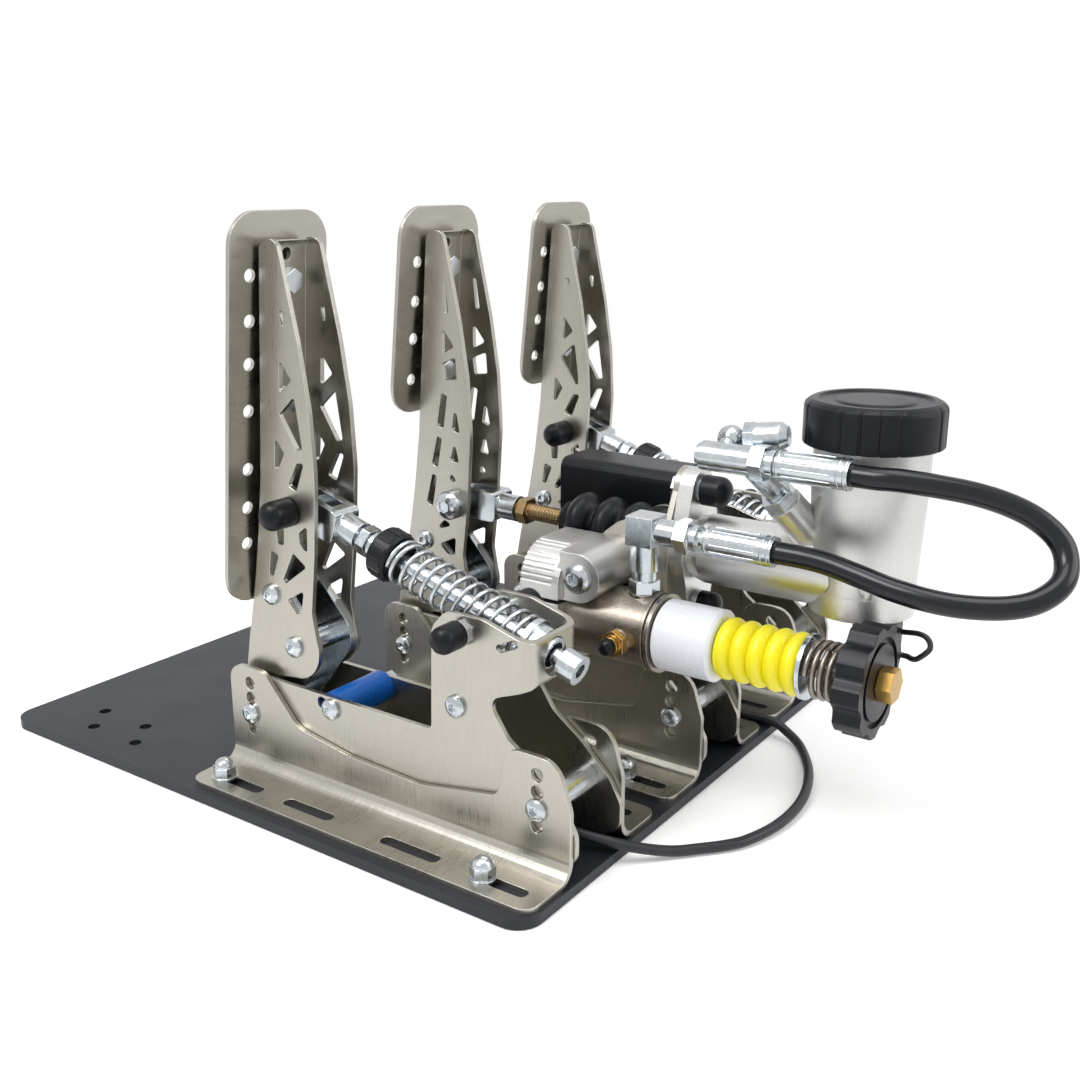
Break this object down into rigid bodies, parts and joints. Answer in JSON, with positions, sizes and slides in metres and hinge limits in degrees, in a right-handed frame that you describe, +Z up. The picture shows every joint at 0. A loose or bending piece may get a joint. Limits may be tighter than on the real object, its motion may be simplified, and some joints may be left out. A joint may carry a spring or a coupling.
{
  "type": "sim racing pedal set",
  "caption": "Floor-standing pedal set for a driving simulator: lattice-cut steel arms on bent brackets, sprung throttle and clutch, and a hydraulic brake with an elastomer stack",
  "frame": {"origin": "centre of the underside of the floor plate", "axes": "X across the pedals with the throttle at +X, Y away from the driver, Z up"},
  "size_m": [0.344, 0.5086, 0.2772],
  "materials": {
    "coated_plate": "fine textured powder coat, near black",
    "bare_steel": "laser-cut sheet steel with a satin finish",
    "zinc_steel": "bright zinc plating",
    "black_rubber": "moulded black rubber",
    "black_plastic": "fine-grained moulded plastic",
    "cast_alloy": "cast and machined aluminium",
    "dark_steel": "dark bronzed steel",
    "brass": "machined brass",
    "gold_zinc": "yellow passivated zinc plating",
    "blue_plastic": "blue plastic sleeve",
    "yellow_elastomer": "yellow elastomer",
    "white_plastic": "white machined plastic",
    "cable_jacket": "smooth cable jacket"
  },
  "bodies": {
    "frame": {"base_plate": "coated_plate", "throttle_brackets": "bare_steel", "brake_brackets": "bare_steel", "clutch_brackets": "bare_steel", "floor_screws": "zinc_steel", "throttle_tub": "bare_steel", "brake_tub": "bare_steel", "clutch_tub": "bare_steel", "pivot_axles": "zinc_steel", "frame_bolts": "zinc_steel", "tub_spacers": "zinc_steel", "stop_rollers": "blue_plastic", "bolt_caps": "black_rubber", "spring_seats": "zinc_steel", "master_mount": "bare_steel", "master_cylinder": "cast_alloy", "reservoir": "cast_alloy", "hose_fittings": "zinc_steel", "pressure_sensor": "zinc_steel", "brake_hose": "black_rubber", "slave_cylinder": "dark_steel", "slave_clamp": "cast_alloy", "bleed_screw": "brass", "controller_box": "black_plastic", "controller_shelf": "coated_plate", "loom_cable": "cable_jacket", "sensor_plug": "black_plastic", "sensor_lead": "cable_jacket", "brake_boot": "black_rubber", "preload_spring": "dark_steel"},
    "throttle_pedal": {"throttle_arm": "bare_steel", "throttle_yoke": "zinc_steel", "throttle_pad": "bare_steel", "throttle_arm_bolts": "zinc_steel", "throttle_pin_cap": "black_rubber"},
    "throttle_linkage": {"throttle_clevis": "zinc_steel", "throttle_rod": "zinc_steel", "throttle_collar": "black_plastic", "throttle_spring": "zinc_steel"},
    "clutch_pedal": {"clutch_arm": "bare_steel", "clutch_yoke": "zinc_steel", "clutch_pad": "bare_steel", "clutch_arm_bolts": "zinc_steel", "clutch_pin_cap": "black_rubber"},
    "clutch_linkage": {"clutch_clevis": "zinc_steel", "clutch_rod": "zinc_steel", "clutch_collar": "black_plastic", "clutch_spring": "zinc_steel"},
    "brake_pedal": {"brake_arm": "bare_steel", "brake_yoke": "zinc_steel", "brake_pad": "bare_steel", "brake_arm_bolts": "zinc_steel"},
    "brake_linkage": {"brake_clevis": "zinc_steel", "brake_rod": "gold_zinc"},
    "piston": {"master_piston": "cast_alloy"},
    "plunger": {"slave_plunger": "white_plastic"},
    "stack_end": {"stack_washer": "zinc_steel", "elastomer_stack": "yellow_elastomer"},
    "knob": {"preload_knob": "black_plastic"},
    "cap": {"reservoir_cap": "black_plastic"}
  },
  "joints": [
    {"name": "throttle_press", "type": "hinge", "parent": "frame", "child": "throttle_pedal", "pos_m": [0.115, -0.018, 0.0345], "axis": [-1, 0, 0], "range_deg": [0, 14.5], "stiffness_Nm_per_rad": 30, "springref_deg": -5.73},
    {"name": "throttle_rod_swing", "type": "hinge", "parent": "throttle_pedal", "child": "throttle_linkage", "pos_m": [0.115, 0.009, 0.141], "axis": [-1, 0, 0], "range_deg": [-15.5, 0.5], "deforming": ["throttle_spring"]},
    {"name": "clutch_press", "type": "hinge", "parent": "frame", "child": "clutch_pedal", "pos_m": [-0.115, -0.018, 0.0345], "axis": [-1, 0, 0], "range_deg": [0, 14.5], "stiffness_Nm_per_rad": 30, "springref_deg": -5.73},
    {"name": "clutch_rod_swing", "type": "hinge", "parent": "clutch_pedal", "child": "clutch_linkage", "pos_m": [-0.115, 0.009, 0.141], "axis": [-1, 0, 0], "range_deg": [-15.5, 0.5], "deforming": ["clutch_spring"]},
    {"name": "brake_press", "type": "hinge", "parent": "frame", "child": "brake_pedal", "pos_m": [0, -0.018, 0.0345], "axis": [-1, 0, 0], "range_deg": [0, 6], "stiffness_Nm_per_rad": 200, "springref_deg": -1.15},
    {"name": "brake_rod_swing", "type": "hinge", "parent": "brake_pedal", "child": "brake_linkage", "pos_m": [0, 0.0145, 0.121], "axis": [-1, 0, 0], "range_deg": [-8, 0.5], "deforming": ["brake_boot"]},
    {"name": "piston_slide", "type": "slide", "parent": "frame", "child": "piston", "axis": [0, 1, 0], "range_m": [0, 0.0095]},
    {"name": "plunger_slide", "type": "slide", "parent": "frame", "child": "plunger", "axis": [0, 1, 0], "range_m": [0, 0.0042]},
    {"name": "stack_slide", "type": "slide", "parent": "frame", "child": "stack_end", "axis": [0, 1, 0], "range_m": [0, 0.0014], "deforming": ["elastomer_stack", "preload_spring"]},
    {"name": "knob_turn", "type": "hinge", "parent": "frame", "child": "knob", "pos_m": [0.038, 0.2588, 0.085], "axis": [0, 1, 0], "continuous": true},
    {"name": "cap_turn", "type": "hinge", "parent": "frame", "child": "cap", "pos_m": [-0.006, 0.238, 0.188], "axis": [0, 0, 1], "continuous": true}
  ],
  "couplings": [
    {"joint": "throttle_rod_swing", "follows": "throttle_press", "ratio": -1.045},
    {"joint": "clutch_rod_swing", "follows": "clutch_press", "ratio": -1.045},
    {"joint": "brake_rod_swing", "follows": "brake_press", "ratio": -1.27},
    {"joint": "piston_slide", "follows": "brake_press", "m_per_rad": 0.0849},
    {"joint": "plunger_slide", "follows": "brake_press", "m_per_rad": 0.0377},
    {"joint": "stack_slide", "follows": "brake_press", "m_per_rad": 0.0115}
  ]
}
